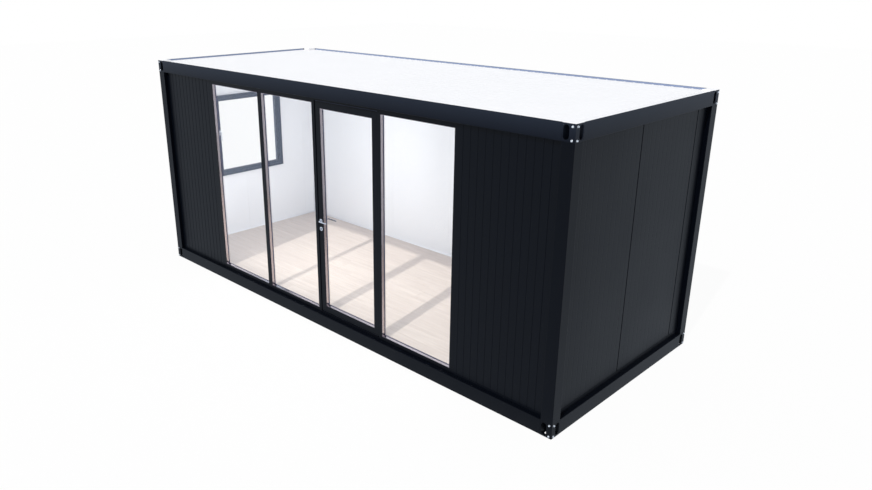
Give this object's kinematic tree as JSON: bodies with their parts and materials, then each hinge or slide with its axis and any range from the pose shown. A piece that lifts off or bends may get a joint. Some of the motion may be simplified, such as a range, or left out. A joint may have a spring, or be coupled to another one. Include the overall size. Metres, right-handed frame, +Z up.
{
  "type": "office container",
  "caption": "Flat-roofed steel-framed office container with dark sandwich-panel walls, a glazed front with a hinged door, an end window, and slotted corner fittings for lifting and stacking.",
  "frame": {"origin": "centre of the base, on the ground under the bottom beams", "axes": "+X along the long glazed front towards its door's hinge side, the front faces -Y, +Z up"},
  "size_m": [6, 2.4, 2.6],
  "materials": {
    "frame_steel": "satin black paint on folded steel",
    "wall_panel": "matt black coated sheet outside, white coated sheet inside",
    "roof_sheet": "white coated sheet",
    "ceiling": "white coated sheet",
    "galvanised_steel": "galvanised",
    "floor_board": "raw cement-bonded board",
    "oak_floor": "pale oak laminate",
    "window_aluminium": "powder-coated black",
    "glass": "clear double glazing",
    "lever_metal": "satin chrome"
  },
  "bodies": {
    "cabin": {"bottom_front_beam": "frame_steel", "bottom_back_beam": "frame_steel", "bottom_left_beam": "frame_steel", "bottom_right_beam": "frame_steel", "top_front_beam": "frame_steel", "top_back_beam": "frame_steel", "top_left_beam": "frame_steel", "top_right_beam": "frame_steel", "corner_posts": "frame_steel", "bottom_corner_fittings": "frame_steel", "top_corner_fittings": "frame_steel", "floor_joists": "galvanised_steel", "floor_board": "floor_board", "floor_finish": "oak_floor", "ceiling_panel": "ceiling", "roof_sheet": "roof_sheet", "roof_end_strips": "roof_sheet", "front_left_panel": "wall_panel", "front_right_panel": "wall_panel", "back_wall_panels": "wall_panel", "right_end_panels": "wall_panel", "left_end_panels": "wall_panel", "glazing_left_jamb": "window_aluminium", "glazing_right_jamb": "window_aluminium", "glazing_head": "window_aluminium", "glazing_sill": "window_aluminium", "glazing_mullions": "window_aluminium", "glazing_beads": "window_aluminium", "fixed_glass": "glass", "hinge_frame_halves": "frame_steel", "window_frame": "window_aluminium", "window_sash": "window_aluminium", "window_glass": "glass", "window_handle": "window_aluminium"},
    "door": {"door_lock_stile": "window_aluminium", "door_hinge_stile": "window_aluminium", "door_top_rail": "window_aluminium", "door_bottom_rail": "window_aluminium", "door_beads": "window_aluminium", "door_glass": "glass", "door_roses": "lever_metal", "lock_cylinder": "lever_metal", "hinge_leaf_halves": "frame_steel"},
    "lever": {"outer_lever": "lever_metal", "inner_lever": "lever_metal"}
  },
  "joints": [
    {"name": "door_hinge", "type": "hinge", "parent": "cabin", "child": "door", "pos_m": [0.915, -1.085, 1.3], "axis": [0, 0, -1], "range_deg": [0, 100]},
    {"name": "door_lever", "type": "hinge", "parent": "door", "child": "lever", "pos_m": [0.0595, -1.127, 1.195], "axis": [0, 1, 0], "range_deg": [0, 45], "stiffness_Nm_per_rad": 1.5, "springref_deg": -20.05}
  ]
}
